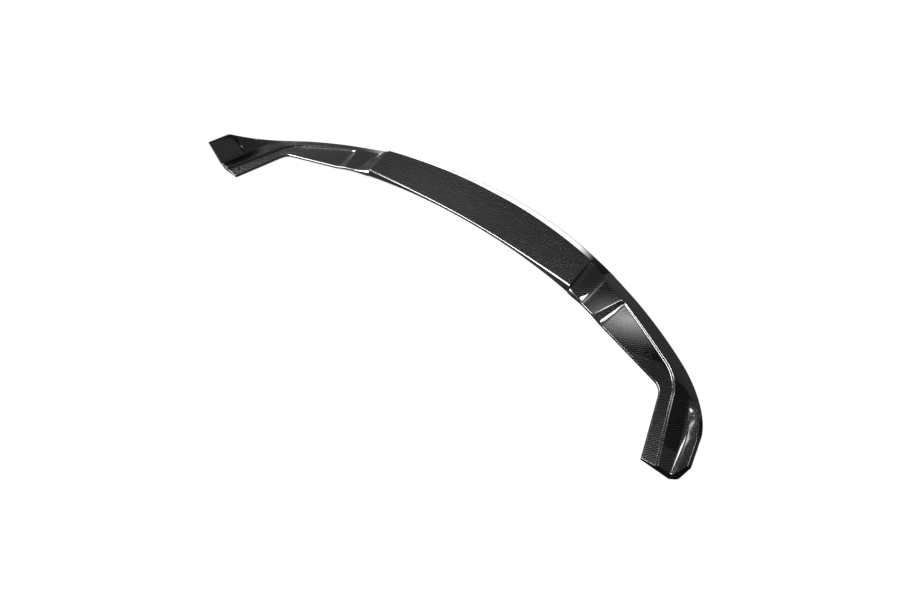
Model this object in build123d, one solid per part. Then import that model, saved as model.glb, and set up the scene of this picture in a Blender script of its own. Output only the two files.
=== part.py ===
from build123d import *
import os
from math import acos, cos, degrees, radians, sin, sqrt, tan

# Front bumper lip, one moulded carbon-fibre laminate, open underneath.
# Millimetres, +Z up, +Y towards the front of the car. The origin is the middle of the footprint,
# on the surface that the lip rests on.

# Overall size
overall_width = 1740.0
overall_depth = 466.0
skin = 3.0

# Front edge in plan: a wide arc, a tighter corner arc, then straight back along the fin
front_radius = 1350.0
corner_radius = 290.0
end_heading = 76.6
edge_height = 5.0
edge_rise = 5.0

# Raised centre panel, sloping up to its front crest, with ends that flick up
panel_half = 388.0
panel_depth = 112.0
panel_rear_sag = 33.0
panel_rear_height = 20.0
panel_rear_flick = 16.0
panel_crest_height = 44.0
panel_crest_flick = 8.0
panel_trim_height = 14.0
panel_trim_flick = 3.0
panel_rear_lean = 2.0
panel_rear_lean_flick = 6.0
front_face_run = 50.0
front_face_run_end = 46.0

# Step down at each end of the panel, then the ramp to the saddle
step_run = 4.0
step_drop_rear = 8.0
step_drop_front = 4.0
step_inset = 3.0
ramp_run = 54.0
saddle_height = 21.0
saddle_run_rear = 36.0
saddle_run_front = 79.5

# Sunken mounting ledge of the wing and the crest beside it
recess_run_rear = 29.0
recess_run_front = 3.5
trim_angle = 16.5
bend_inset = 154.0
bend_radius = 40.0
end_width = 95.0
return_height = 6.0
ledge_height = 15.0
band_width = 37.0
crest_height = 20.5
crest_height_end = 26.0
crest_bend_inset = 140.5
crest_bend_setback = 250.0
crest_bend_radius = 130.0
crest_end_inset = 59.0
wall_height = 4.0
wall_height_end = 9.0
wall_run = 3.0

# Fin at the end of the wing
fin_height = 100.0
fin_crown = 3.0
fin_start = 0.42
fin_shelf = 0.72
fin_corner = 0.86
fin_power = 2.2
fin_foot_inset = 26.0
band_fold_inset = 15.0
rim_width = 8.0
edge_rim = 1.5
rim_droop = 0.15

# Outer face below the rim, as shares of its height: it leans in to the belly, then tucks in to the toe
belly_height = 0.22
belly_lean = 0.12
toe_tuck = 0.28
nose_skins = 1.5

# Screw holes, each a mirrored pair, set in from the rear edge
hole_diameter = 6.5
panel_hole_from_end = 54.0
panel_hole_inset = 49.5
ledge_hole_share = 0.318
ledge_hole_inset = 39.7
end_hole_share = 0.935
end_hole_inset = 19.4

# Roundings of the outside corners, as a cut back along each side
roll_cut = 4.0
foot_cut = 2.0
crest_cut = 2.0
rim_cut = 2.5
belly_cut = 12.0
side_share = 0.4
fold_from_crest = 0.35
fold_up_fin = 0.25
flat_foot = 0.86
face_fold = 0.6

# Stations along each stretch
panel_steps = 4
ramp_steps = 4
wing_steps = 28
fin_steps = 2

half_width = overall_width / 2
heading = radians(end_heading)


def smooth(u):
    """Eases from 0 to 1 as u goes from 0 to 1."""
    u = min(max(u, 0.0), 1.0)
    return u * u * (3 - 2 * u)


def mix(a, b, share):
    return a + (b - a) * share


def front_y(x):
    """The wide arc of the front edge."""
    return overall_depth - front_radius + sqrt(front_radius**2 - x * x)


def rounded(before, corner, after, cut):
    """Where a rounding leaves the two sides of a corner, never past a share of the shorter side."""
    reach = min(cut, side_share * (before - corner).length, side_share * (after - corner).length)
    start = corner + (before - corner).normalized() * reach
    end = corner + (after - corner).normalized() * reach
    return start, end


def inside(path):
    """The path moved into the laminate by its thickness, with mitred corners."""
    sides = [(b - a).normalized() for a, b in zip(path, path[1:])]
    normals = [Vector(side.Y, -side.X) for side in sides]
    moved = [path[0] + normals[0] * skin]
    for corner, n, m in zip(path[1:], normals, normals[1:]):
        moved.append(corner + (n + m) * (skin / (1 + n.dot(m))))
    moved.append(path[-1] + normals[-1] * skin)
    return moved


def section(rear, outer, trim, ledge, foot, crest, fold, rim, rim_height, filled=False):
    """One upright section of the laminate from the rear edge to the outer edge.

    rear and outer are plan points. The corners are (distance from the rear edge, height): trim is the
    bottom of the rear return, ledge its top, foot and crest the step, fold where the band turns into the fin.
    A filled section is closed straight across its underside.
    """
    width = (outer - rear).length
    along = (outer - rear).normalized()
    top_in = Vector(width - rim, rim_height)
    top_out = Vector(width, rim_height - rim_droop * rim)
    belly = Vector(width - belly_lean * top_out.Y, belly_height * top_out.Y)
    toe = Vector(width - toe_tuck * top_out.Y, 0)
    band_end = fold + (crest - fold) * fold_from_crest
    fin_foot = fold + (top_in - fold) * fold_up_fin

    def at(p):
        return Vector(rear.X + along.X * p.X, rear.Y + along.Y * p.X, p.Y)

    edges = []

    def straight(a, b):
        edges.append(Edge.make_line(at(a), at(b)))

    def curved(a, control, b):
        edges.append(Edge.make_bezier(at(a), at(control), at(b)))

    last = trim
    corners = [trim, ledge, foot, crest, band_end]
    for k, cut in ((1, roll_cut), (2, foot_cut), (3, crest_cut)):
        start, end = rounded(corners[k - 1], corners[k], corners[k + 1], cut)
        straight(last, start)
        curved(start, corners[k], end)
        last = end
    straight(last, band_end)
    curved(band_end, fold, fin_foot)
    last = fin_foot
    corners = [fin_foot, top_in, top_out, belly, toe]
    for k, cut in ((1, rim_cut), (2, rim_cut), (3, belly_cut)):
        start, end = rounded(corners[k - 1], corners[k], corners[k + 1], cut)
        straight(last, start)
        curved(start, corners[k], end)
        last = end
    straight(last, toe)

    if filled:
        straight(toe, trim)
        return Wire(edges)

    under = inside([trim, ledge, foot, crest, band_end])
    pocket = Vector(belly.X - nose_skins * skin, min(band_end.Y, rim_height) - skin)
    back = [toe, toe - Vector(skin, 0), pocket] + under[::-1]
    back[-1] = Vector(under[0].X, trim.Y)
    back.append(trim)
    for a, b in zip(back, back[1:]):
        straight(a, b)
    return Wire(edges)


def plain_section(rear, outer, trim_height, rear_lean, rear_height, crest_at, crest_z):
    """A section of the panel, ramp or saddle: a flat top, then a straight face down to the front edge."""
    width = (outer - rear).length
    crest = Vector(crest_at, crest_z)
    edge = Vector(width - edge_rim, edge_height)
    ledge = Vector(0, rear_height)
    foot = ledge + (crest - ledge) * flat_foot
    fold = crest + (edge - crest) * face_fold
    trim = Vector(-rear_lean, trim_height)
    return section(rear, outer, trim, ledge, foot, crest, fold, edge_rim, edge_height)


# Plan lines of the wing
ramp_x = panel_half + step_run
saddle_x = ramp_x + ramp_run
panel_rear_y = overall_depth - front_face_run - panel_depth
ramp_rear_y = panel_rear_y - panel_rear_sag - step_inset


def trim_y(x):
    """The straight rear trim line from the panel's end to the bend of the ledge."""
    return ramp_rear_y - (x - ramp_x) * tan(radians(trim_angle))


recess_rear = Vector(saddle_x + saddle_run_rear, trim_y(saddle_x + saddle_run_rear))
recess_front = Vector(saddle_x + saddle_run_front, front_y(saddle_x + saddle_run_front))
ledge_rear = Vector(recess_rear.X + recess_run_rear, trim_y(recess_rear.X + recess_run_rear))
ledge_front = Vector(recess_front.X + recess_run_front, front_y(recess_front.X + recess_run_front))
bend = Vector(half_width - bend_inset, trim_y(half_width - bend_inset))
tail = Vector(half_width - end_width, 0)

# The turn that the wide arc makes before the corner arc, so that the edge ends at the full width
spare_y = overall_depth - front_radius + corner_radius * cos(heading)
reach_x = half_width - corner_radius * sin(heading) - spare_y / tan(heading)
arc_turn = heading - acos(reach_x * sin(heading) / (front_radius - corner_radius))
start_turn = acos((ledge_front.Y - overall_depth + front_radius) / front_radius)

ledge_away = (ledge_front - ledge_rear).normalized()
crest_start = ledge_front - ledge_away * band_width
crest_bend = Vector(half_width - crest_bend_inset, overall_depth - crest_bend_setback)
crest_end = Vector(half_width - crest_end_inset, 0)

front_arc = JernArc(
    ledge_front, (cos(start_turn), -sin(start_turn)), front_radius, -degrees(arc_turn - start_turn)
)
corner_arc = JernArc(front_arc @ 1, front_arc % 1, corner_radius, -degrees(heading - arc_turn))
edge_line = Wire([front_arc.edge(), corner_arc.edge(), Line(corner_arc @ 1, (half_width, 0)).edge()])
rear_line = FilletPolyline(ledge_rear, bend, tail, radius=bend_radius)
crest_line = FilletPolyline(crest_start, crest_bend, crest_end, radius=crest_bend_radius)


def panel_rear_line_y(x):
    """The bowed rear edge of the panel."""
    return panel_rear_y - panel_rear_sag * (x / panel_half) ** 2


def panel_section(x):
    share = abs(x) / panel_half
    flick = share**3
    rear = Vector(x, panel_rear_line_y(x))
    outer = Vector(x, front_y(x))
    run = mix(front_face_run_end, front_face_run, (1 - share) ** 2)
    return plain_section(
        rear,
        outer,
        panel_trim_height + panel_trim_flick * flick,
        panel_rear_lean + panel_rear_lean_flick * flick,
        panel_rear_height + panel_rear_flick * flick,
        outer.Y - run - rear.Y,
        panel_crest_height + panel_crest_flick * flick,
    )


def ramp_section(share):
    """From the foot of the panel's end step, share 0, to the saddle, share 1."""
    x = mix(ramp_x, saddle_x, share)
    fall = smooth(share)
    top_rear = panel_rear_height + panel_rear_flick - step_drop_rear
    top_crest = panel_crest_height + panel_crest_flick - step_drop_front
    rear = Vector(x, trim_y(x))
    outer = Vector(x, front_y(x))
    run = mix(front_face_run_end, band_width, fall)
    return plain_section(
        rear,
        outer,
        mix(panel_trim_height + panel_trim_flick, saddle_height - return_height, fall),
        mix(panel_rear_lean + panel_rear_lean_flick, panel_rear_lean, fall),
        mix(top_rear, saddle_height, fall),
        outer.Y - run - rear.Y,
        mix(top_crest, saddle_height, fall),
    )


def recess_section():
    """The edge of the saddle where the floor starts to drop to the ledge."""
    crest_at = (recess_front - recess_rear).length - band_width
    trim_height = saddle_height - return_height
    return plain_section(
        recess_rear, recess_front, trim_height, panel_rear_lean, saddle_height, crest_at, saddle_height
    )


def wing_place(share, inset):
    """The plan point that far in from the rear edge of the wing."""
    rear = rear_line @ share
    return rear + (edge_line @ share - rear).normalized() * inset


def wing_section(share, filled=False):
    """Ledge, step, band and fin, from the foot of the recess, share 0, to the end of the lip, share 1."""
    rear = rear_line @ share
    outer = edge_line @ share
    width = (outer - rear).length
    crest_at = (crest_line @ share - rear).dot((outer - rear).normalized())
    crest = Vector(crest_at, mix(crest_height, crest_height_end, share))
    foot = crest - Vector(wall_run, mix(wall_height, wall_height_end, share))
    ledge = Vector(0, mix(return_height, ledge_height, rear.Y / ledge_rear.Y))
    trim = Vector(-panel_rear_lean / 2, ledge.Y - return_height)

    edge_z = edge_height + edge_rise * min(share / fin_start, 1)
    climb = min(max((share - fin_start) / (fin_corner - fin_start), 0), 1) ** fin_power
    crown = max((share - fin_corner) / (1 - fin_corner), 0)
    rim_z = edge_z + (fin_height - edge_height - edge_rise) * climb + fin_crown * crown
    rim = mix(edge_rim, rim_width, smooth((share - fin_start) / (fin_corner - fin_start)))

    shelf = smooth((share - fin_start) / (fin_shelf - fin_start))
    fold_at = width - mix(band_fold_inset, fin_foot_inset, shelf)
    band_z = mix(crest.Y, rim_z, (fold_at - crest_at) / (width - rim - crest_at))
    fold = Vector(fold_at, mix(band_z, crest.Y, shelf))
    return section(rear, outer, trim, ledge, foot, crest, fold, rim, rim_z, filled)


def stations(steps):
    """Shares from 0 to 1 in even steps."""
    return [k / steps for k in range(steps + 1)]


half_panel = [panel_half * u for u in stations(panel_steps)]
panel_stations = [-x for x in half_panel[:0:-1]] + half_panel
centre = Solid.make_loft([panel_section(x) for x in panel_stations])

step = Solid.make_loft([panel_section(panel_half), ramp_section(0)], ruled=True)
ramp = Solid.make_loft([ramp_section(u) for u in stations(ramp_steps)])
saddle = Solid.make_loft([ramp_section(1), recess_section()], ruled=True)
recess = Solid.make_loft([recess_section(), wing_section(0)], ruled=True)
wing = Solid.make_loft([wing_section(fin_corner * u) for u in stations(wing_steps)])

# Fin, then the upright flange that closes the end of the wing down to the resting surface
flange_share = 1 - skin / rear_line.length
fin = Solid.make_loft([wing_section(mix(fin_corner, flange_share, u)) for u in stations(fin_steps)])
flange_ends = [wing_section(share, filled=True) for share in (flange_share, 1)]
flange = Solid.make_loft(flange_ends, ruled=True)

right = Part() + [step, ramp, saddle, recess, wing, fin, flange]
lip = centre + right + mirror(right, about=Plane.YZ)

panel_hole_x = panel_half - panel_hole_from_end
hole_places = (
    Vector(panel_hole_x, panel_rear_line_y(panel_hole_x) + panel_hole_inset),
    wing_place(ledge_hole_share, ledge_hole_inset),
    wing_place(end_hole_share, end_hole_inset),
)
for place in hole_places:
    for side in (-1, 1):
        lip -= Pos(side * place.X, place.Y, 0) * Cylinder(hole_diameter / 2, 2 * fin_height)

front_lip = Pos(0, -overall_depth / 2, 0) * lip
front_lip.label = "front_lip"

os.makedirs("parts", exist_ok=True)
export_step(front_lip, "parts/front_lip.step")
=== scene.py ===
import math

import bmesh
import bpy
import numpy as np
from mathutils import Matrix, Vector


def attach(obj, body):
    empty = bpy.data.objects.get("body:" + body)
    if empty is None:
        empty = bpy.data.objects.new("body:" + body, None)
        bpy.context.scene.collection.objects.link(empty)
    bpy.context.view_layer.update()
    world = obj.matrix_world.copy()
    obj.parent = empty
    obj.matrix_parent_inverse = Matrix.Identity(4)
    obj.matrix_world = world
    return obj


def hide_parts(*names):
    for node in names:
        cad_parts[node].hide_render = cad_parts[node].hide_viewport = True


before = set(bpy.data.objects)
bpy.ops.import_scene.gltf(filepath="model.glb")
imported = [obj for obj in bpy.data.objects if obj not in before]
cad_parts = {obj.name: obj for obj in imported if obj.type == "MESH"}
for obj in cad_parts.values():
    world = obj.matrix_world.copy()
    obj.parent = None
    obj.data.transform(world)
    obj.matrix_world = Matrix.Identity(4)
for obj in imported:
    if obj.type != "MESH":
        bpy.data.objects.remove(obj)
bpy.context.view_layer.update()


# The moulded lip
# One laminate of woven carbon fibre in clear epoxy, laid into a female mould so that its show face is smooth.
# It is open underneath, trimmed along its rear edge, closed by a flange at each end, and drilled for the
# screws that hold it to the bumper.

# Sizes in millimetres, measured forward from the tail of the lip
half_width = 870.0
depth = 466.0
skin = 3.0
front_radius, corner_radius, end_heading = 1350.0, 290.0, math.radians(76.6)
edge_height, edge_rise, edge_rim = 5.0, 5.0, 1.5

panel_half = 388.0
panel_rear_y, panel_rear_sag = 304.0, 33.0
panel_rear_height, panel_rear_flick = 20.0, 16.0
panel_crest_height, panel_crest_flick = 44.0, 8.0
panel_trim_height, panel_trim_flick = 14.0, 3.0
rear_lean, rear_lean_flick = 2.0, 6.0
face_run, face_run_end = 50.0, 46.0

ramp_x, saddle_x = 392.0, 446.0
ramp_rear_y, trim_slope = 268.0, math.tan(math.radians(16.5))
step_drop_rear, step_drop_front = 8.0, 4.0
saddle_height, return_height = 21.0, 6.0
recess_rear_x, recess_front_x = 482.0, 525.5
ledge_rear_x, ledge_front_x = 511.0, 529.0
ledge_height, band_width = 15.0, 37.0

bend_x, bend_radius, tail_x = 716.0, 40.0, 775.0
crest_height, crest_height_end = 20.5, 26.0
crest_bend, crest_bend_radius, crest_end_x = (729.5, 216.0), 130.0, 811.0
wall_height, wall_height_end, wall_run = 4.0, 9.0, 3.0

fin_height, fin_height_end, fin_power = 100.0, 103.0, 2.2
fin_start, fin_shelf, fin_corner = 0.42, 0.72, 0.86
fin_foot_inset, band_fold_inset, rim_width, rim_droop = 26.0, 15.0, 8.0, 0.15
belly_height, belly_lean, toe_tuck, nose_skins = 0.22, 0.12, 0.28, 1.5
fold_from_crest, fold_up_fin, fold_bow = 0.16, 0.05, 0.25
flat_foot, face_fold = 0.86, 0.6

roll_cut, foot_cut, crest_cut, rim_cut, belly_cut = 5.0, 2.0, 2.8, 2.5, 12.0
end_round, tail_run = 1.5, 480.0
corner_soften = 0.012

hole_radius = 3.25
hole_places = ((334.0, 329.05), (649.84, 232.07), (786.04, 25.96))


def smooth(u):
    u = min(max(u, 0.0), 1.0)
    return u * u * (3 - 2 * u)


def mix(a, b, share):
    return a + (b - a) * share


def front_y(x):
    return depth - front_radius + math.sqrt(front_radius**2 - x * x)


def trim_y(x):
    return ramp_rear_y - (x - ramp_x) * trim_slope


def rounded_corner_line(a, b, c, radius, count=32):
    """A plan line from a by b to c with its corner rounded."""
    a, b, c = (np.array(p, float) for p in (a, b, c))
    u = (a - b) / np.linalg.norm(a - b)
    v = (c - b) / np.linalg.norm(c - b)
    half = math.acos(u @ v) / 2
    start, end = b + u * radius / math.tan(half), b + v * radius / math.tan(half)
    centre = b + (u + v) / np.linalg.norm(u + v) * radius / math.sin(half)
    first = math.atan2(start[1] - centre[1], start[0] - centre[0])
    last = math.atan2(end[1] - centre[1], end[0] - centre[0])
    turn = (last - first + math.pi) % (2 * math.pi) - math.pi
    angles = first + turn * np.linspace(0, 1, count)
    arc = centre + radius * np.stack([np.cos(angles), np.sin(angles)], 1)
    return np.vstack([a, arc, c])


def along_line(line, share):
    lengths = np.r_[0, np.cumsum(np.linalg.norm(np.diff(line, axis=0), axis=1))]
    place = share * lengths[-1]
    return np.array([np.interp(place, lengths, line[:, 0]), np.interp(place, lengths, line[:, 1])])


# Plan lines of the wing: the outer edge is two arcs and a straight; the rear edge and the crest bend once
spare = depth - front_radius + corner_radius * math.cos(end_heading)
reach = half_width - corner_radius * math.sin(end_heading) - spare / math.tan(end_heading)
arc_turn = end_heading - math.acos(reach * math.sin(end_heading) / (front_radius - corner_radius))
arc_end = np.array([front_radius * math.sin(arc_turn), front_y(front_radius * math.sin(arc_turn))])
wide_arc = [(x, front_y(x)) for x in np.linspace(ledge_front_x, arc_end[0], 90)]
corner_centre = arc_end - corner_radius * np.array([math.sin(arc_turn), math.cos(arc_turn)])
corner_arc = [
    corner_centre + corner_radius * np.array([math.sin(a), math.cos(a)])
    for a in np.linspace(arc_turn, end_heading, 70)[1:]
]
outer_line = np.vstack([wide_arc, corner_arc, [(half_width, 0.0)]])

ledge_rear = np.array([ledge_rear_x, trim_y(ledge_rear_x)])
ledge_front = np.array([ledge_front_x, front_y(ledge_front_x)])
ledge_way = (ledge_front - ledge_rear) / np.linalg.norm(ledge_front - ledge_rear)
crest_start = ledge_front - ledge_way * band_width
rear_line = rounded_corner_line(ledge_rear, (bend_x, trim_y(bend_x)), (tail_x, 0.0), bend_radius)
crest_line = rounded_corner_line(crest_start, crest_bend, (crest_end_x, 0.0), crest_bend_radius)


def run(a, b, count):
    """Points after a, up to b, closer together towards both ends."""
    steps = (1 - np.cos(np.pi * np.arange(1, count + 1) / count)) / 2
    return [a + (b - a) * s for s in steps]


def turn_corner(a, corner, b, count):
    """Points after a, up to b, round a corner."""
    steps = np.arange(1, count + 1) / count
    return [a * (1 - s) ** 2 + corner * 2 * s * (1 - s) + b * s * s for s in steps]


def leave_corner(before, corner, after, cut):
    to_before, to_after = before - corner, after - corner
    run_before, run_after = np.linalg.norm(to_before), np.linalg.norm(to_after)
    reach = min(cut, 0.4 * run_before, 0.4 * run_after)
    return corner + to_before * reach / run_before, corner + to_after * reach / run_after


def laminate_row(rear, outer, trim, ledge, foot, crest, fold, rim, rim_height, inset=0.0):
    """One section of the lip: its show face from rear edge to toe, its cloth places, and its inside."""
    width = np.linalg.norm(outer - rear)
    away = (outer - rear) / width
    top_in = np.array([width - rim, rim_height])
    top_out = np.array([width, rim_height - rim_droop * rim])
    belly = np.array([width - belly_lean * top_out[1], belly_height * top_out[1]])
    toe = np.array([width - toe_tuck * top_out[1], 0.0])
    band_end = fold + (crest - fold) * fold_from_crest
    fin_foot = fold + (top_in - fold) * fold_up_fin
    fold_middle = mix((band_end + fin_foot) / 2, fold, fold_bow)

    show = [trim]
    corners = [trim, ledge, foot, crest, band_end]
    for k, cut, straight, bend in ((1, roll_cut, 3, 6), (2, foot_cut, 12, 4), (3, crest_cut, 3, 5)):
        start, end = leave_corner(corners[k - 1], corners[k], corners[k + 1], cut)
        show += run(show[-1], start, straight) + turn_corner(start, corners[k], end, bend)
    show += run(show[-1], band_end, 8) + turn_corner(band_end, fold_middle, fin_foot, 10)
    corners = [fin_foot, top_in, top_out, belly, toe]
    for k, cut, straight, bend in ((1, rim_cut, 9, 5), (2, rim_cut, 2, 5), (3, belly_cut, 7, 6)):
        start, end = leave_corner(corners[k - 1], corners[k], corners[k + 1], cut)
        show += run(show[-1], start, straight) + turn_corner(start, corners[k], end, bend)
    show += run(show[-1], toe, 3)
    show = np.array(show)

    steps = np.diff(show, axis=0)
    cloth = np.r_[0, np.cumsum(np.linalg.norm(steps, axis=1))] - np.linalg.norm(ledge - trim)
    if inset:
        side = np.gradient(show, axis=0)
        side /= np.linalg.norm(side, axis=1)[:, None]
        show = show + inset * np.stack([side[:, 1], -side[:, 0]], 1)
        show[:, 1] = np.maximum(show[:, 1], 0)

    path = [trim, ledge, foot, crest, band_end]
    sides = [(b - a) / np.linalg.norm(b - a) for a, b in zip(path, path[1:])]
    normals = [np.array([s[1], -s[0]]) for s in sides]
    under = [np.array([path[0][0] + normals[0][0] * skin, trim[1]])]
    for corner, n, m in zip(path[1:], normals, normals[1:]):
        under.append(corner + (n + m) * skin / (1 + n @ m))
    under.append(path[-1] + normals[-1] * skin)
    pocket = np.array([belly[0] - nose_skins * skin, min(band_end[1], rim_height) - skin])
    stops = [toe - np.array([skin, 0.0]), pocket] + under[::-1]
    inside = [stops[0]]
    for a, b in zip(stops, stops[1:]):
        inside += run(a, b, 4)
    inside = np.array(inside)

    def placed(points):
        plan = rear + away * points[:, :1]
        return np.column_stack([plan, points[:, 1]])

    return placed(show), rear + away * cloth[:, None], placed(inside)


def plain_row(rear, outer, trim_height, lean, rear_height, crest_at, crest_z):
    """A section of the panel, ramp or saddle: a flat top, then a straight face to the front edge."""
    rear, outer = np.array(rear, float), np.array(outer, float)
    crest = np.array([crest_at, crest_z])
    edge = np.array([np.linalg.norm(outer - rear) - edge_rim, edge_height])
    ledge = np.array([0.0, rear_height])
    foot = ledge + (crest - ledge) * flat_foot
    fold = crest + (edge - crest) * face_fold
    trim = np.array([-lean, trim_height])
    return laminate_row(rear, outer, trim, ledge, foot, crest, fold, edge_rim, edge_height)


def panel_row(x):
    share = abs(x) / panel_half
    flick = share**3
    rear_y = panel_rear_y - panel_rear_sag * share**2
    crest_at = front_y(x) - mix(face_run_end, face_run, (1 - share) ** 2) - rear_y
    return plain_row(
        (x, rear_y),
        (x, front_y(x)),
        panel_trim_height + panel_trim_flick * flick,
        rear_lean + rear_lean_flick * flick,
        panel_rear_height + panel_rear_flick * flick,
        crest_at,
        panel_crest_height + panel_crest_flick * flick,
    )


def ramp_row(share):
    x = mix(ramp_x, saddle_x, share)
    fall = smooth(share)
    return plain_row(
        (x, trim_y(x)),
        (x, front_y(x)),
        mix(panel_trim_height + panel_trim_flick, saddle_height - return_height, fall),
        mix(rear_lean + rear_lean_flick, rear_lean, fall),
        mix(panel_rear_height + panel_rear_flick - step_drop_rear, saddle_height, fall),
        front_y(x) - mix(face_run_end, band_width, fall) - trim_y(x),
        mix(panel_crest_height + panel_crest_flick - step_drop_front, saddle_height, fall),
    )


def recess_row():
    rear = np.array([recess_rear_x, trim_y(recess_rear_x)])
    outer = np.array([recess_front_x, front_y(recess_front_x)])
    crest_at = np.linalg.norm(outer - rear) - band_width
    trim_height = saddle_height - return_height
    return plain_row(rear, outer, trim_height, rear_lean, saddle_height, crest_at, saddle_height)


def rim_climb(share):
    climb = min(max((share - fin_start) / (fin_corner - fin_start), 0.0), 1.0) ** fin_power
    crown = max((share - fin_corner) / (1 - fin_corner), 0.0)
    low = edge_height + edge_rise * min(share / fin_start, 1.0)
    return low + (fin_height - edge_height - edge_rise) * climb + (fin_height_end - fin_height) * crown


def wing_row(share, inset=0.0):
    rear, outer = along_line(rear_line, share), along_line(outer_line, share)
    width = np.linalg.norm(outer - rear)
    crest_at = (along_line(crest_line, share) - rear) @ (outer - rear) / width
    crest = np.array([crest_at, mix(crest_height, crest_height_end, share)])
    foot = crest - np.array([wall_run, mix(wall_height, wall_height_end, share)])
    ledge = np.array([0.0, mix(return_height, ledge_height, rear[1] / ledge_rear[1])])
    trim = np.array([-rear_lean / 2, ledge[1] - return_height])

    soften = corner_soften * (1 - min(abs(share - fin_corner) / (1 - fin_corner), 1.0))
    rim_z = np.mean([rim_climb(share + soften * k) for k in np.linspace(-1, 1, 9)])
    rim = mix(edge_rim, rim_width, smooth((share - fin_start) / (fin_corner - fin_start)))
    shelf = smooth((share - fin_start) / (fin_shelf - fin_start))
    fold_at = width - mix(band_fold_inset, fin_foot_inset, shelf)
    band_z = mix(crest[1], rim_z, (fold_at - crest_at) / (width - rim - crest_at))
    fold = np.array([fold_at, mix(band_z, crest[1], shelf)])
    return laminate_row(rear, outer, trim, ledge, foot, crest, fold, rim, rim_z, inset)


def between(a, b, share):
    return tuple(p + (q - p) * share for p, q in zip(a, b))


def round_between(a, corner, b, count):
    return [
        tuple(p * (1 - s) ** 2 + c * 2 * s * (1 - s) + q * s * s for p, c, q in zip(a, corner, b))
        for s in np.arange(1, count) / count
    ]


# Rows from the middle of the panel to the end of the right wing
rows = [panel_row(panel_half * k / 48) for k in range(49)]
for k in range(1, 9):
    sides = between(panel_row(panel_half), ramp_row(0), k / 8)
    drop = between(panel_row(panel_half), ramp_row(0), smooth(k / 8))
    rows.append(tuple(np.column_stack([s[:, :2], d[:, 2:]]) for s, d in zip(sides, drop)))
rows += [ramp_row(k / 16) for k in range(1, 17)]

saddle_edge, ledge_start = recess_row(), wing_row(0)
edge_share, foot_share, ledge_share = 0.1, 0.3, 0.025
rows += [between(ramp_row(1), saddle_edge, k / 6 * (1 - edge_share / 2)) for k in range(1, 7)]
rows += round_between(rows[-1], saddle_edge, between(saddle_edge, ledge_start, edge_share), 5)
rows += [between(saddle_edge, ledge_start, mix(edge_share, 1 - foot_share, k / 6)) for k in range(7)]
rows += round_between(rows[-1], ledge_start, wing_row(ledge_share), 8)
rows += [wing_row(mix(ledge_share, 1 - end_round / tail_run, k / 170)) for k in range(171)]
rows += [
    wing_row(1 - end_round / tail_run * (1 - math.sin(a)), end_round * (1 - math.cos(a)))
    for a in np.radians((30, 60, 90))
]
end_rows = 3


def mirrored(row):
    return tuple(part * np.array([-1.0, 1.0, 1.0][: part.shape[1]]) for part in row)


rows = [mirrored(row) for row in rows[:0:-1]] + rows

# The skin of the lip: rings of show face and inside, a flange at each end, and the cloth's place at each corner
lip_mesh = bmesh.new()
cloth_layer = lip_mesh.loops.layers.uv.new("cloth")
show_count, inside_count = len(rows[0][0]), len(rows[0][2])
to_metres = Vector((0.0, -depth / 2000, 0.0))
show_verts, inside_verts, cloth_at = [], [], {}
for number, (show, cloth, inside) in enumerate(rows):
    show_verts.append([lip_mesh.verts.new(Vector(p) / 1000 + to_metres) for p in show])
    for vert, place in zip(show_verts[-1], cloth):
        cloth_at[vert] = Vector(place) / 1000
    beyond = number < end_rows or number >= len(rows) - end_rows
    kept_inside = [] if beyond else inside
    inside_verts.append([lip_mesh.verts.new(Vector(p) / 1000 + to_metres) for p in kept_inside])
    for vert in inside_verts[-1]:
        cloth_at[vert] = vert.co.xy


def lip_face(verts, finish):
    face = lip_mesh.faces.new(verts)
    face.material_index = finish
    face.smooth = True
    for loop in face.loops:
        loop[cloth_layer].uv = cloth_at[loop.vert]
    return face


gloss, raw = 0, 1
for here, there in zip(range(len(rows)), range(1, len(rows))):
    for k in range(show_count - 1):
        a, b = show_verts[here], show_verts[there]
        lip_face((a[k], b[k], b[k + 1], a[k + 1]), gloss)
    if inside_verts[here] and inside_verts[there]:
        a = [show_verts[here][-1]] + inside_verts[here] + [show_verts[here][0]]
        b = [show_verts[there][-1]] + inside_verts[there] + [show_verts[there][0]]
        for k in range(inside_count + 1):
            lip_face((a[k], b[k], b[k + 1], a[k + 1]), raw)

for last, inner, order in ((0, end_rows, 1), (len(rows) - 1, len(rows) - 1 - end_rows, -1)):
    outline = show_verts[last]
    flange = lip_face(outline[::order], gloss)
    for loop in flange.loops:
        loop[cloth_layer].uv = loop.vert.co.xz
    back = [show_verts[inner][-1]] + inside_verts[inner] + [show_verts[inner][0]]
    lip_face(back[::order], raw)
    way = range(last, inner, order)
    sole = [show_verts[n][0] for n in way] + [show_verts[inner][0], show_verts[inner][-1]]
    sole += [show_verts[n][-1] for n in reversed(way)]
    lip_face(sole[::order], raw)

bmesh.ops.recalc_face_normals(lip_mesh, faces=lip_mesh.faces)
lip_data = bpy.data.meshes.new("front_lip_shell")
lip_mesh.to_mesh(lip_data)
lip_mesh.free()
lip = bpy.data.objects.new("front_lip_shell", lip_data)
bpy.context.scene.collection.objects.link(lip)

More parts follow.
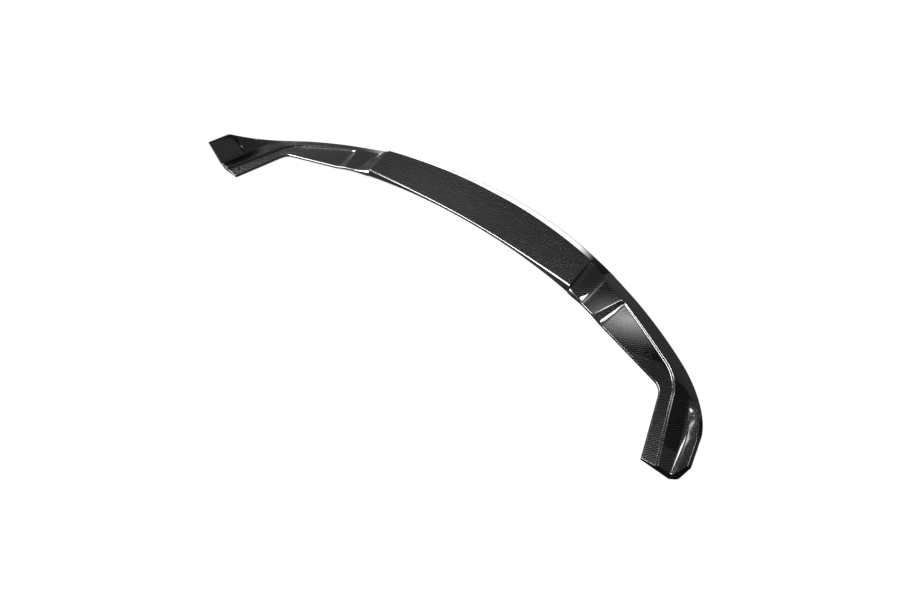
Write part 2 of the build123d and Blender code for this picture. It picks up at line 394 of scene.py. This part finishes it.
# Screw holes, drilled straight down
drill_low, drill_high, drill_sides = -10.0, 120.0, 32
drill_mesh = bmesh.new()
for x, y in hole_places:
    for side in (-1, 1):
        rings = []
        for z in (drill_low, drill_high):
            ring = []
            for a in np.linspace(0, 2 * math.pi, drill_sides + 1)[:-1]:
                place = Vector((side * x + hole_radius * math.cos(a), y + hole_radius * math.sin(a), z))
                ring.append(drill_mesh.verts.new(place / 1000 + to_metres))
            rings.append(ring)
        low, high = rings
        for k in range(drill_sides):
            beside = (k + 1) % drill_sides
            drill_mesh.faces.new((low[k], low[beside], high[beside], high[k]))
        drill_mesh.faces.new(low[::-1])
        drill_mesh.faces.new(high)
drill_data = bpy.data.meshes.new("drill")
drill_mesh.to_mesh(drill_data)
drill_mesh.free()
drill = bpy.data.objects.new("drill", drill_data)
bpy.context.scene.collection.objects.link(drill)
drilling = lip.modifiers.new("screw_holes", "BOOLEAN")
drilling.object = drill
drilling.operation = "DIFFERENCE"
drilling.solver = "EXACT"
bpy.context.view_layer.objects.active = lip
bpy.ops.object.modifier_apply(modifier="screw_holes")
bpy.data.objects.remove(drill)
lip.data.set_sharp_from_angle(angle=math.radians(38))
even = lip.modifiers.new("even_shading", "WEIGHTED_NORMAL")
even.keep_sharp = True
even.weight = 60
bpy.ops.object.modifier_apply(modifier="even_shading")


def twill_cloth():
    """Two-by-two twill: each tow passes over two and under two, so the floats step along a diagonal. Its colour
    carries a painted sheen: the warp floats are painted lighter than the weft.
    """
    group = bpy.data.node_groups.new("twill_cloth", "ShaderNodeTree")
    for name, kind in (("Cloth", "NodeSocketVector"), ("Tow width", "NodeSocketFloat")):
        group.interface.new_socket(name, in_out="INPUT", socket_type=kind)
    for name in ("Dark tow", "Sheen tow"):
        group.interface.new_socket(name, in_out="INPUT", socket_type="NodeSocketColor")
    group.interface.new_socket("Tow colour and sheen", in_out="OUTPUT", socket_type="NodeSocketColor")
    group.interface.new_socket("Weave height", in_out="OUTPUT", socket_type="NodeSocketFloat")
    nodes, links = group.nodes, group.links
    given, made = nodes.new("NodeGroupInput"), nodes.new("NodeGroupOutput")

    def maths(operation, *inputs):
        node = nodes.new("ShaderNodeMath")
        node.operation = operation
        for socket, value in zip(node.inputs, inputs):
            if isinstance(value, (int, float)):
                socket.default_value = value
            else:
                links.new(value, socket)
        return node.outputs[0]

    split = nodes.new("ShaderNodeSeparateXYZ")
    links.new(given.outputs["Cloth"], split.inputs[0])
    across = maths("DIVIDE", split.outputs[0], given.outputs["Tow width"])
    down = maths("DIVIDE", split.outputs[1], given.outputs["Tow width"])
    column, row = maths("FLOOR", across), maths("FLOOR", down)
    in_column, in_row = maths("SUBTRACT", across, column), maths("SUBTRACT", down, row)
    place = maths("FLOORED_MODULO", maths("SUBTRACT", column, row), 4.0)
    warp_on_top = maths("LESS_THAN", place, 1.5)

    def tow(side, along):
        """Height of one tow: round across its width, and dipping where it goes under its neighbours."""
        edge = maths("MULTIPLY_ADD", side, 2.0, -1.0)
        flat = maths("SUBTRACT", 1.0, maths("POWER", maths("ABSOLUTE", edge), 3.0))
        end = maths("SUBTRACT", along, 1.0)
        crown = maths("SUBTRACT", 1.0, maths("MULTIPLY", end, end))
        return maths("MULTIPLY", flat, maths("MULTIPLY_ADD", crown, 0.5, 0.5))

    warp = tow(in_column, maths("ADD", maths("SUBTRACT", 1.0, place), in_row))
    weft = tow(in_row, maths("ADD", maths("SUBTRACT", place, 2.0), in_column))
    weft_on_top = maths("SUBTRACT", 1.0, warp_on_top)
    height = maths("ADD", maths("MULTIPLY", warp, warp_on_top), maths("MULTIPLY", weft, weft_on_top))

    def strands(u_scale, v_scale):
        stretch = nodes.new("ShaderNodeCombineXYZ")
        links.new(maths("MULTIPLY", across, u_scale), stretch.inputs[0])
        links.new(maths("MULTIPLY", down, v_scale), stretch.inputs[1])
        grain = nodes.new("ShaderNodeTexNoise")
        grain.inputs["Scale"].default_value = 1.0
        grain.inputs["Detail"].default_value = 1.0
        links.new(stretch.outputs[0], grain.inputs["Vector"])
        return grain.outputs[0]

    fibre = maths(
        "ADD",
        maths("MULTIPLY", strands(9.0, 0.7), warp_on_top),
        maths("MULTIPLY", strands(0.7, 9.0), weft_on_top),
    )
    # Painted sheen: the warp floats are painted much lighter than the weft, standing in for the glint carbon
    # tows give along one direction. The painted colour darkens towards each tow's edges and the ends of its
    # float, and the fibre grain streaks it.
    float_sheen = maths("MULTIPLY_ADD", warp_on_top, 0.55, 0.12)
    painted_sheen_and_grain = maths("MULTIPLY", maths("MULTIPLY", height, float_sheen), maths("MULTIPLY_ADD", fibre, 1.2, 0.4))
    blend = nodes.new("ShaderNodeMix")
    blend.data_type = "RGBA"
    links.new(painted_sheen_and_grain, blend.inputs[0])
    links.new(given.outputs["Dark tow"], blend.inputs[6])
    links.new(given.outputs["Sheen tow"], blend.inputs[7])
    links.new(blend.outputs[2], made.inputs["Tow colour and sheen"])
    links.new(height, made.inputs["Weave height"])
    return group


twill = twill_cloth()


def laminate_finish(name, tow_width, dark, sheen_colour, weave_depth):
    """A material of cloth in resin, with the weave's colour, its painted sheen and its relief already joined to
    its shader.
    """
    material = bpy.data.materials.new(name)
    material.use_nodes = True
    nodes, links = material.node_tree.nodes, material.node_tree.links
    shader = nodes["Principled BSDF"]
    cloth = nodes.new("ShaderNodeUVMap")
    cloth.uv_map = "cloth"
    weave = nodes.new("ShaderNodeGroup")
    weave.node_tree = twill
    weave.inputs["Tow width"].default_value = tow_width
    weave.inputs["Dark tow"].default_value = (*dark, 1.0)
    weave.inputs["Sheen tow"].default_value = (*sheen_colour, 1.0)
    links.new(cloth.outputs[0], weave.inputs["Cloth"])
    links.new(weave.outputs["Tow colour and sheen"], shader.inputs["Base Color"])
    relief = nodes.new("ShaderNodeBump")
    relief.inputs["Strength"].default_value = 0.6
    relief.inputs["Distance"].default_value = weave_depth
    links.new(weave.outputs["Weave height"], relief.inputs["Height"])
    links.new(relief.outputs[0], shader.inputs["Normal"])
    return material, shader


# Show face: black cloth deep under a hard, smooth gloss coat
tow_width = 0.002
# The lighter tow colour is a painted sheen on the warp floats; the darker one is the cloth's own black.
dark_tow, sheen_tow = (0.0007, 0.0007, 0.0008), (0.065, 0.0657, 0.068)
gloss_carbon, coat = laminate_finish("gloss_carbon", tow_width, dark_tow, sheen_tow, 0.0002)
coat.inputs["Metallic"].default_value = 1.0
coat.inputs["Roughness"].default_value = 0.3
coat.inputs["Coat Weight"].default_value = 1.0
coat.inputs["Coat Roughness"].default_value = 0.025
coat.inputs["Coat IOR"].default_value = 1.5

# Inside: the bag side of the laminate, dull, with the cloth standing proud of the resin
# On the inside too, the lighter tow colour is a painted sheen on the warp floats.
dark_raw, bag_side_sheen = (0.006, 0.006, 0.006), (0.03, 0.03, 0.031)
raw_laminate, dull = laminate_finish("raw_laminate", tow_width, dark_raw, bag_side_sheen, 0.0004)
dull.inputs["Roughness"].default_value = 0.6
dull.inputs["IOR"].default_value = 1.5

lip.data.materials.clear()
lip.data.materials.append(gloss_carbon)
lip.data.materials.append(raw_laminate)
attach(lip, "root")
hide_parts("front_lip")


# Floor
# A wide, matt white sweep that the lip lies on. It is no part of the object.
floor_data = bpy.data.meshes.new("floor")
floor_reach, floor_z = 90, -0.0006
floor_corners = [(x * floor_reach, y * floor_reach, floor_z) for x, y in ((-1, -1), (1, -1), (1, 1), (-1, 1))]
floor_data.from_pydata(floor_corners, [], [(0, 1, 2, 3)])
floor = bpy.data.objects.new("floor", floor_data)
bpy.context.scene.collection.objects.link(floor)
white_sweep = bpy.data.materials.new("white_sweep")
white_sweep.use_nodes = True
paper = white_sweep.node_tree.nodes["Principled BSDF"]
paper.inputs["Base Color"].default_value = (0.01, 0.01, 0.01, 1.0)
paper.inputs["Roughness"].default_value = 0.9
paper.inputs["Specular IOR Level"].default_value = 0.0
paper.inputs["Emission Color"].default_value = (1.0, 1.0, 1.0, 1.0)
sweep_nodes, sweep_links = white_sweep.node_tree.nodes, white_sweep.node_tree.links


def floor_maths(operation, *inputs):
    node = sweep_nodes.new("ShaderNodeMath")
    node.operation = operation
    for socket, value in zip(node.inputs, inputs):
        if isinstance(value, (int, float)):
            socket.default_value = value
        else:
            sweep_links.new(value, socket)
    return node.outputs[0]


def floor_fade(value, start, end):
    node = sweep_nodes.new("ShaderNodeMapRange")
    node.interpolation_type = "SMOOTHSTEP"
    sweep_links.new(value, node.inputs["Value"])
    node.inputs["From Min"].default_value = start
    node.inputs["From Max"].default_value = end
    return node.outputs[0]


# The camera sees plain white paper, with a painted shadow under the lip and in its screw holes. The lip itself
# sees a dark floor, with one glowing strip along its front edge and a dim glowing patch behind its panel.
floor_place = sweep_nodes.new("ShaderNodeSeparateXYZ")
sweep_links.new(sweep_nodes.new("ShaderNodeNewGeometry").outputs["Position"], floor_place.inputs[0])
edge_radius = front_radius / 1000
from_centre = floor_maths("ADD", floor_place.outputs[1], edge_radius - depth / 2000)
strip_radius = floor_maths(
    "SQRT",
    floor_maths(
        "ADD",
        floor_maths("MULTIPLY", floor_place.outputs[0], floor_place.outputs[0]),
        floor_maths("MULTIPLY", from_centre, from_centre),
    ),
)
strip_near = floor_fade(strip_radius, edge_radius - 0.01, edge_radius + 0.01)
strip_far = floor_fade(strip_radius, edge_radius + 0.3, edge_radius + 0.15)
strip = floor_maths("MULTIPLY", strip_near, strip_far)
strip = floor_maths("MULTIPLY", strip, floor_fade(floor_place.outputs[0], 0.37, 0.28))
strip = floor_maths("MULTIPLY", strip, floor_fade(floor_place.outputs[0], -0.6, -0.35))
strip_glow, bay_glow = 2.3, 0.4
strip = floor_maths("MULTIPLY", strip, strip_glow)
bay_side = floor_fade(floor_place.outputs[0], 0.42, 0.25)
bay = floor_maths("MULTIPLY", bay_side, floor_fade(floor_place.outputs[1], 0.2, 0.1))
strip = floor_maths("ADD", strip, floor_maths("MULTIPLY", bay, bay_glow))
contact = sweep_nodes.new("ShaderNodeAmbientOcclusion")
contact.inputs["Distance"].default_value = 0.12
# Painted shadow: the paper's white glow is cut down where the lip and its screw holes enclose the floor.
white_with_painted_shadow = floor_fade(contact.outputs["AO"], 0.03, 0.25)
seen = sweep_nodes.new("ShaderNodeLightPath")
by_eye = floor_maths("MULTIPLY", white_with_painted_shadow, seen.outputs["Is Camera Ray"])
by_lip = floor_maths("MULTIPLY", strip, floor_maths("SUBTRACT", 1.0, seen.outputs["Is Camera Ray"]))
sweep_links.new(floor_maths("ADD", by_eye, by_lip), paper.inputs["Emission Strength"])

# From below, the floor is clear, so that the underside of the lip can be looked at
from_below = sweep_nodes.new("ShaderNodeMixShader")
sweep_links.new(sweep_nodes.new("ShaderNodeNewGeometry").outputs["Backfacing"], from_below.inputs[0])
sweep_links.new(paper.outputs[0], from_below.inputs[1])
sweep_links.new(sweep_nodes.new("ShaderNodeBsdfTransparent").outputs[0], from_below.inputs[2])
sweep_links.new(from_below.outputs[0], sweep_nodes["Material Output"].inputs["Surface"])
floor_data.materials.append(white_sweep)


# Studio light
# A dim room with a white backdrop, and a broad strip on the left whose reflection draws every rounded edge.
# A lamp over the recess has a soft card beside it that shines along the ledge, and a narrow lamp lights the
# foot of the right fin.
world = bpy.data.worlds.new("studio")
bpy.context.scene.world = world
world.use_nodes = True
sky = world.node_tree
backdrop = sky.nodes.new("ShaderNodeMix")
backdrop.data_type = "RGBA"
backdrop.inputs[6].default_value = (0.3, 0.3, 0.31, 1.0)
backdrop.inputs[7].default_value = (1.0, 1.0, 1.0, 1.0)
sky.links.new(sky.nodes.new("ShaderNodeLightPath").outputs["Is Camera Ray"], backdrop.inputs[0])
sky.links.new(backdrop.outputs[2], sky.nodes["Background"].inputs["Color"])
sky.nodes["Background"].inputs["Strength"].default_value = 1.0


def softbox(name, place, aim, size, power, spread=180):
    lamp = bpy.data.lights.new(name, "AREA")
    lamp.shape = "RECTANGLE"
    lamp.size, lamp.size_y = size
    lamp.energy = power
    lamp.spread = math.radians(spread)
    box = bpy.data.objects.new(name, lamp)
    box.location = place
    box.rotation_euler = (Vector(aim) - Vector(place)).to_track_quat("-Z", "Y").to_euler()
    box.visible_camera = False
    bpy.context.scene.collection.objects.link(box)


softbox("left_strip", (-2.55, -1.5, 2.4), (0.5, -0.6, 0.0), (2.9, 1.3), 800)
softbox("recess_spark", (0.38, 1.0, 1.8), (0.51, 0.02, 0.0), (0.28, 0.18), 5.5)
softbox("fold_light", (-1.0, 0.48, 0.9), (0.77, -0.1, 0.03), (0.3, 0.8), 0.34, 24)

# A black flag keeps the recess lamp off the tail of the wing
flag_data = bpy.data.meshes.new("flag")
flag_corners = [(x, 0.2, z) for x, z in ((0.58, 0.22), (0.86, 0.22), (0.86, 0.75), (0.58, 0.75))]
flag_data.from_pydata(flag_corners, [], [(0, 1, 2, 3)])
flag = bpy.data.objects.new("flag", flag_data)
bpy.context.scene.collection.objects.link(flag)
flag.visible_camera = False
black_card = bpy.data.materials.new("black_card")
black_card.use_nodes = True
black_paint = black_card.node_tree.nodes["Principled BSDF"]
black_paint.inputs["Base Color"].default_value = (0.01, 0.01, 0.01, 1.0)
flag_data.materials.append(black_card)

glow_card_data = bpy.data.meshes.new("glow_card")
card_corners = [(-0.34, -0.3, 0), (0.34, -0.3, 0), (0.34, 0.3, 0), (-0.34, 0.3, 0)]
glow_card_data.from_pydata(card_corners, [], [(0, 1, 2, 3)])
glow_card = bpy.data.objects.new("glow_card", glow_card_data)
glow_card.location = (-0.02, 1.18, 1.8)
bpy.context.scene.collection.objects.link(glow_card)
glow_card.visible_camera = False
soft_edge = bpy.data.materials.new("soft_edge")
soft_edge.use_nodes = True
card_nodes, card_links = soft_edge.node_tree.nodes, soft_edge.node_tree.links
card_nodes.remove(card_nodes["Principled BSDF"])
card_place = card_nodes.new("ShaderNodeTexCoord")
card_spread = card_nodes.new("ShaderNodeMapping")
card_spread.inputs["Location"].default_value = (-1.0, -1.0, 0.0)
card_spread.inputs["Scale"].default_value = (2.0, 2.0, 0.0)
card_fall = card_nodes.new("ShaderNodeTexGradient")
card_fall.gradient_type = "QUADRATIC_SPHERE"
card_power = card_nodes.new("ShaderNodeMath")
card_power.operation = "MULTIPLY"
card_power.inputs[1].default_value = 8.0
card_lamp = card_nodes.new("ShaderNodeEmission")
card_links.new(card_place.outputs["Generated"], card_spread.inputs[0])
card_links.new(card_spread.outputs[0], card_fall.inputs[0])
card_links.new(card_fall.outputs[0], card_power.inputs[0])
card_links.new(card_power.outputs[0], card_lamp.inputs["Strength"])
card_links.new(card_lamp.outputs[0], card_nodes["Material Output"].inputs["Surface"])
glow_card_data.materials.append(soft_edge)


# Camera
# Above and behind the right end, wide, and turned a little, as the photograph was taken.
lens = bpy.data.cameras.new("camera")
lens.sensor_width = 36.0
lens.lens = 600 / 920 * lens.sensor_width
camera = bpy.data.objects.new("camera", lens)
right = Vector((0.73198306, 0.67372299, -0.10147971))
lower = Vector((0.48951092, -0.62364233, -0.60946641))
ahead = Vector((-0.47389858, 0.39644366, -0.78629038))
turned = Matrix((right, -lower, -ahead)).transposed().to_4x4()
camera.matrix_world = Matrix.Translation((0.93874, -0.79436, 1.24093)) @ turned
bpy.context.scene.collection.objects.link(camera)
bpy.context.scene.camera = camera
bpy.context.scene.view_settings.view_transform = "Standard"
